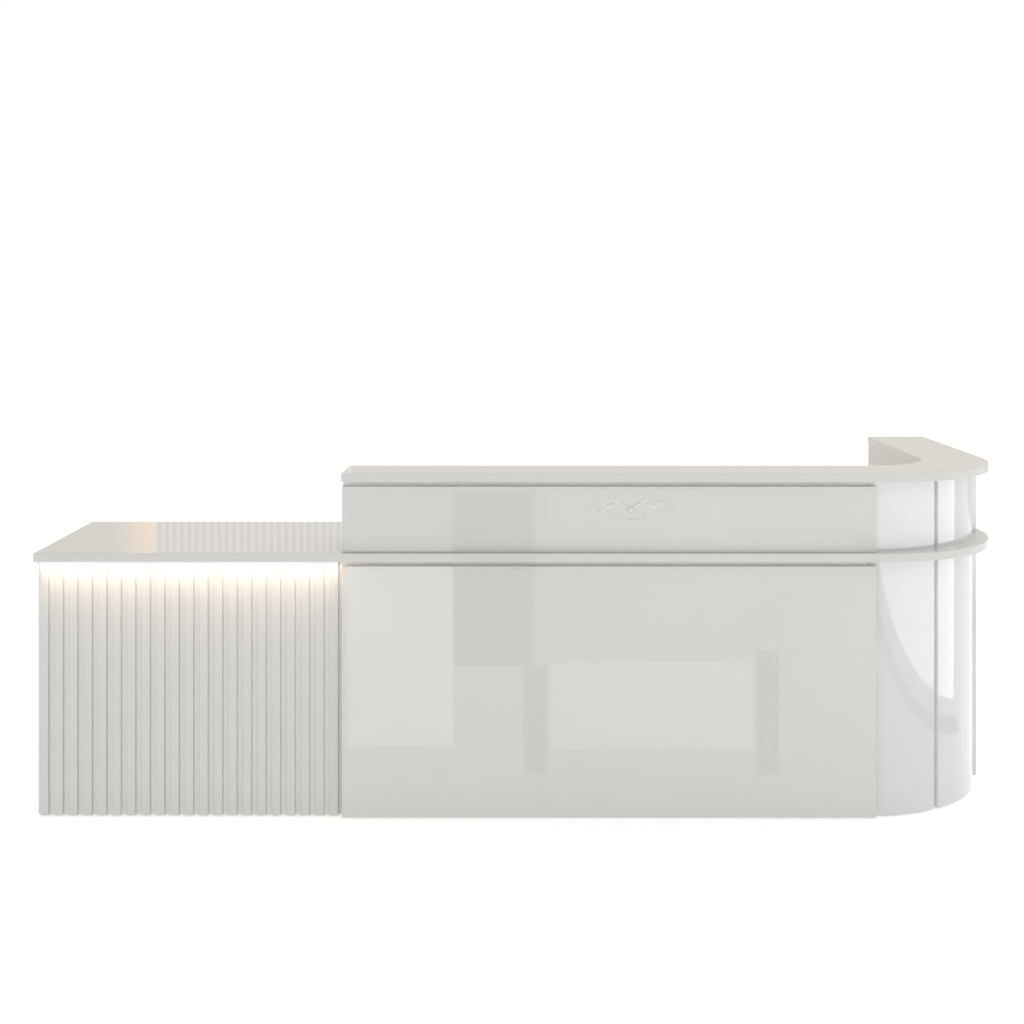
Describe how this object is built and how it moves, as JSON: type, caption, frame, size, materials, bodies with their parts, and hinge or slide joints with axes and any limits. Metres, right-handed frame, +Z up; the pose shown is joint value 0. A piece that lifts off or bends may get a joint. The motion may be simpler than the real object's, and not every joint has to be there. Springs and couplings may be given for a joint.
{
  "type": "checkout counter",
  "caption": "L-shaped retail checkout counter with a slatted low module, a raised ledge round a curved corner, doors, drawers, a keyboard tray and a strip light.",
  "frame": {"origin": "on the floor, at the middle of the counter's bounding box", "axes": "+X along the counter from the low slatted end to the rounded corner, +Y from the customers' side to the staff side, +Z up"},
  "size_m": [2.85, 1.1, 1],
  "materials": {
    "gloss": "white polyurethane lacquer on board, high gloss",
    "melamine": "white melamine faced board, matt",
    "joint": "bright satin anodised strip",
    "aluminium": "satin anodised",
    "steel": "zinc plated",
    "chrome": "polished",
    "white_plastic": "moulded",
    "grey_plastic": "moulded, fine grain",
    "black_plastic": "moulded, fine grain",
    "circuit": "white solder mask",
    "diffuser": "opal, lit"
  },
  "bodies": {
    "counter": {"worktop": "gloss", "ledge": "gloss", "slatted_front": "gloss", "front_panel_lower": "gloss", "front_panel_upper": "gloss", "side_panel_lower": "gloss", "side_panel_upper": "gloss", "bent_panels_lower": "gloss", "bent_panels_upper": "gloss", "corner_strips": "joint", "front_backing": "gloss", "side_backing": "gloss", "corner_formers": "melamine", "low_sides": "melamine", "main_uprights": "melamine", "wing_uprights": "melamine", "bottom_boards": "melamine", "top_rails": "melamine", "kick_boards": "melamine", "shelves": "melamine", "hutch_dividers": "melamine", "hutch_wall": "gloss", "feet": "black_plastic", "shelf_pins": "steel", "joint_bolts": "steel", "hinge_leaves_fixed": "steel", "hinge_pins": "steel", "slide_outers": "steel", "tray_hangers": "steel", "grommet_ring": "grey_plastic", "light_profile": "aluminium", "light_board": "circuit", "light_diffuser": "diffuser", "light_end_caps": "grey_plastic", "light_driver": "white_plastic", "switch_housing": "black_plastic"},
    "door_left": {"door_left": "melamine", "hinge_leaves_left": "steel", "pull_left": "aluminium"},
    "door_right": {"door_right": "melamine", "hinge_leaves_right": "steel", "pull_right": "aluminium"},
    "drawer_upper": {"drawer_upper_front": "melamine", "drawer_upper_box": "melamine", "drawer_upper_pull": "aluminium", "drawer_upper_runners": "steel", "lock_barrel": "chrome"},
    "drawer_upper_middle": {"drawer_upper_middles": "steel"},
    "drawer_lower": {"drawer_lower_front": "melamine", "drawer_lower_box": "melamine", "drawer_lower_pull": "aluminium", "drawer_lower_runners": "steel"},
    "drawer_lower_middle": {"drawer_lower_middles": "steel"},
    "lock_plug": {"lock_plug": "chrome"},
    "tray": {"tray": "melamine", "tray_runners": "steel"},
    "grommet_cap": {"grommet_cap": "grey_plastic"},
    "switch_rocker": {"switch_rocker": "black_plastic"}
  },
  "joints": [
    {"name": "door_left_hinge", "type": "hinge", "parent": "counter", "child": "door_left", "pos_m": [-1.4055, 0.0438, 0.4], "axis": [0, 0, 1], "range_deg": [0, 110]},
    {"name": "door_right_hinge", "type": "hinge", "parent": "counter", "child": "door_right", "pos_m": [-0.5595, 0.0438, 0.4], "axis": [0, 0, -1], "range_deg": [0, 85]},
    {"name": "drawer_upper_slide", "type": "slide", "parent": "counter", "child": "drawer_upper", "axis": [0, 1, 0], "range_m": [0, 0.42]},
    {"name": "drawer_upper_middle_slide", "type": "slide", "parent": "counter", "child": "drawer_upper_middle", "axis": [0, 1, 0], "range_m": [0, 0.21]},
    {"name": "drawer_lower_slide", "type": "slide", "parent": "counter", "child": "drawer_lower", "axis": [0, 1, 0], "range_m": [0, 0.42]},
    {"name": "drawer_lower_middle_slide", "type": "slide", "parent": "counter", "child": "drawer_lower_middle", "axis": [0, 1, 0], "range_m": [0, 0.21]},
    {"name": "lock_turn", "type": "hinge", "parent": "drawer_upper", "child": "lock_plug", "pos_m": [-0.306, 0.03, 0.706], "axis": [0, -1, 0], "range_deg": [0, 90]},
    {"name": "tray_slide", "type": "slide", "parent": "counter", "child": "tray", "axis": [0, 1, 0], "range_m": [0, 0.25]},
    {"name": "grommet_cap_turn", "type": "hinge", "parent": "counter", "child": "grommet_cap", "pos_m": [0.825, -0.25, 0.7705], "axis": [0, 0, 1], "continuous": true},
    {"name": "switch_rock", "type": "hinge", "parent": "counter", "child": "switch_rocker", "pos_m": [-0.072, -0.02, 0.65], "axis": [0, 1, 0], "range_deg": [-8, 8]}
  ],
  "couplings": [
    {"joint": "drawer_upper_middle_slide", "follows": "drawer_upper_slide", "ratio": 0.5},
    {"joint": "drawer_lower_middle_slide", "follows": "drawer_lower_slide", "ratio": 0.5}
  ]
}
